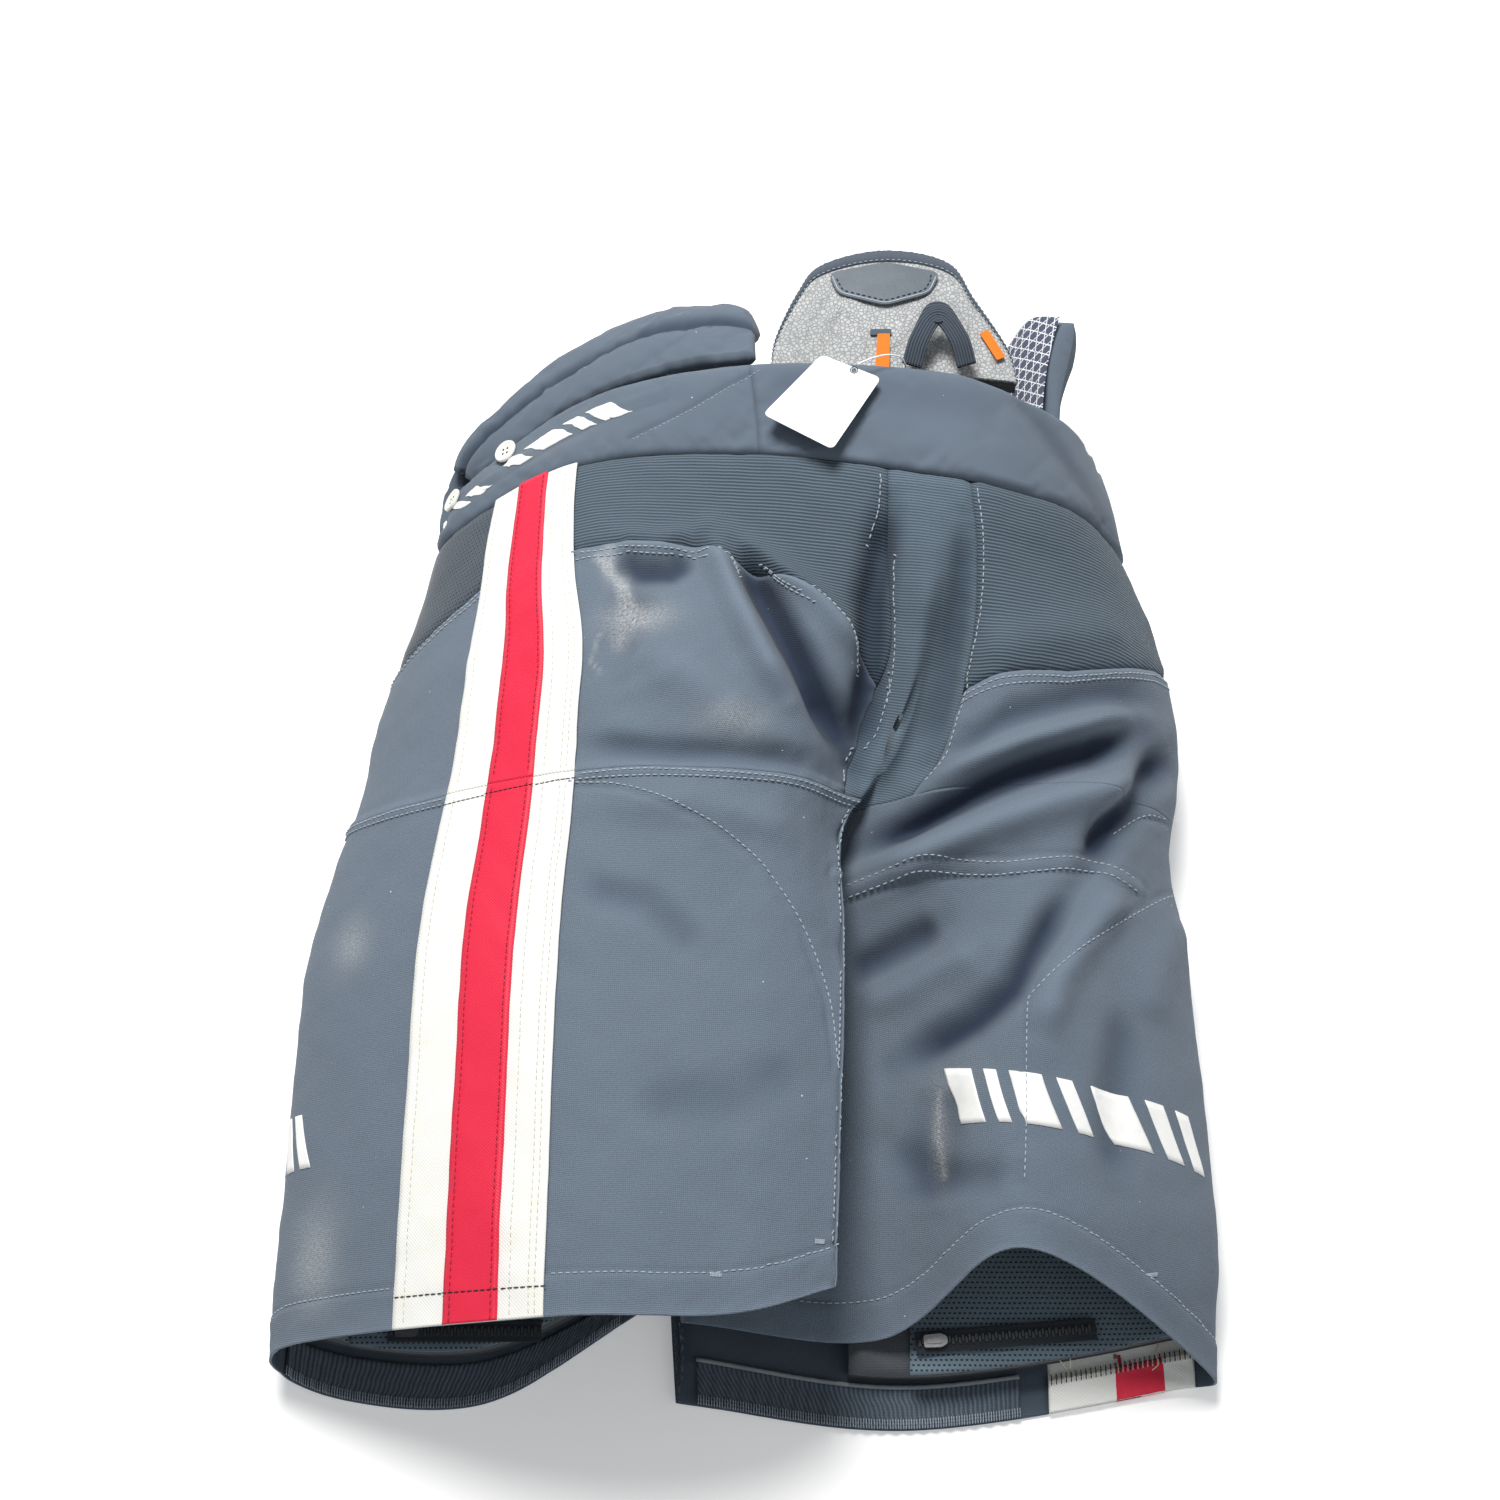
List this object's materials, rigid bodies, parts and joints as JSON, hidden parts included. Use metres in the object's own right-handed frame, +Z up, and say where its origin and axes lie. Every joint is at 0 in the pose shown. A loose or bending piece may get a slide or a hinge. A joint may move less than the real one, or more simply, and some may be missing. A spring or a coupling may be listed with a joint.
{
  "type": "ice hockey pants",
  "caption": "Padded ice hockey pants with side stripes, a spine guard over the waistband, hip and thigh pads inside and zipped thigh pockets at the hems.",
  "frame": {"origin": "middle of the outline seen from above, on the plane that the front of the garment rests on", "axes": "+Y towards the waist, +X towards the wearer's right side, +Z up out of the back of the garment, which lies on its front"},
  "size_m": [0.482, 0.6428, 0.1615],
  "materials": {
    "nylon_shell": "matt woven nylon, scuffed",
    "nylon_band": "brushed knit over foam",
    "stretch_knit": "ribbed stretch knit",
    "vent_mesh": "perforated mesh",
    "lining": "knitted lining",
    "printed_lining": "navy lining printed with white lines",
    "ribbed_elastic": "ribbed elastic",
    "stripe_white": "twill tape",
    "stripe_red": "satin tape",
    "pad_foam": "covered foam",
    "pad_plastic": "moulded",
    "guard_face": "textured moulded foam",
    "guard_patch": "grained synthetic leather",
    "guard_binding": "folded binding",
    "orange_tab": "woven",
    "webbing": "ribbed webbing",
    "tag_card": "plain white card",
    "tag_string": "thin cord",
    "button_plastic": "worn moulded",
    "zip_tape": "woven tape with teeth",
    "zip_metal": "dark plated"
  },
  "bodies": {
    "pelvis": {"left_hip_band": "nylon_band", "back_band": "nylon_band", "front_belt_left": "nylon_band", "front_belt_right": "nylon_band", "back_yoke_left": "stretch_knit", "back_yoke_right": "stretch_knit", "centre_gusset": "stretch_knit", "side_vent_left": "vent_mesh", "seat_panel_left": "nylon_shell", "seat_panel_right": "nylon_shell", "front_upper_left": "nylon_shell", "front_upper_right": "nylon_shell", "stripe_upper_left": "stripe_white", "stripe_upper_red_left": "stripe_red", "stripe_upper_right": "stripe_white", "stripe_upper_red_right": "stripe_red", "waist_liner_back": "lining", "hip_cap_left": "pad_plastic", "hip_pad_left": "pad_foam", "hip_cap_right": "pad_plastic", "hip_pad_right": "pad_foam", "tailbone_pad": "pad_foam", "fly_placket": "nylon_shell", "lace_tape_left": "webbing", "lace_tape_right": "webbing", "kidney_pad_left": "nylon_band", "kidney_pad_right": "nylon_band", "kidney_liner_right": "printed_lining", "suspender_button_rear": "button_plastic", "suspender_button_side": "button_plastic", "tag_string": "tag_string"},
    "left_leg": {"back_panel_left": "nylon_shell", "front_panel_left": "nylon_shell", "stripe_lower_left": "stripe_white", "stripe_lower_red_left": "stripe_red", "thigh_plate_left": "pad_plastic", "thigh_foam_left": "pad_foam", "leg_liner_left": "vent_mesh", "inseam_gusset_left": "ribbed_elastic", "zip_tape_left": "zip_tape"},
    "right_leg": {"back_panel_right": "nylon_shell", "front_panel_right": "nylon_shell", "stripe_lower_right": "stripe_white", "stripe_lower_red_right": "stripe_red", "stripe_fold_right": "stripe_white", "thigh_plate_right": "pad_plastic", "thigh_foam_right": "pad_foam", "leg_liner_right": "vent_mesh", "inseam_gusset_right": "ribbed_elastic", "zip_tape_right": "zip_tape"},
    "spine_guard": {"spine_foam": "pad_foam", "spine_plate": "guard_face", "spine_binding": "guard_binding", "spine_patch": "guard_patch", "spine_insert": "orange_tab", "spine_flag": "orange_tab"},
    "hanger_loop": {"hanger_loop": "webbing"},
    "hang_tag": {"hang_tag": "tag_card"},
    "zip_slider_left": {"zip_slider_left": "zip_metal"},
    "zip_slider_right": {"zip_slider_right": "zip_metal"}
  },
  "joints": [
    {"name": "left_leg_stride", "type": "hinge", "parent": "pelvis", "child": "left_leg", "pos_m": [-0.14877, -0.00862, 0.012], "axis": [-0.6428, 0, -0.766], "range_deg": [0, 25], "deforming": ["seat_panel_left", "stripe_upper_left", "stripe_upper_red_left", "front_upper_left", "centre_gusset"]},
    {"name": "right_leg_stride", "type": "hinge", "parent": "pelvis", "child": "right_leg", "pos_m": [0.15123, -0.00862, 0.012], "axis": [-0.6428, 0, 0.766], "range_deg": [0, 25], "deforming": ["seat_panel_right", "stripe_upper_right", "stripe_upper_red_right", "front_upper_right"]},
    {"name": "spine_guard_tilt", "type": "hinge", "parent": "pelvis", "child": "spine_guard", "pos_m": [0.08323, 0.22938, 0.118], "axis": [1, 0, 0], "range_deg": [0, 25]},
    {"name": "hanger_loop_swing", "type": "hinge", "parent": "spine_guard", "child": "hanger_loop", "pos_m": [0.10623, 0.23438, 0.133], "axis": [1, 0, 0], "range_deg": [0, 45]},
    {"name": "hang_tag_lift", "type": "hinge", "parent": "pelvis", "child": "hang_tag", "pos_m": [0.05623, 0.21588, 0.1593], "axis": [-0.9055, 0.4244, 0], "range_deg": [0, 60]},
    {"name": "left_zip_slide", "type": "slide", "parent": "left_leg", "child": "zip_slider_left", "axis": [1, 0, 0], "range_m": [0, 0.085]},
    {"name": "right_zip_slide", "type": "slide", "parent": "right_leg", "child": "zip_slider_right", "axis": [0.9971, 0.0759, 0], "range_m": [0, 0.07]}
  ]
}
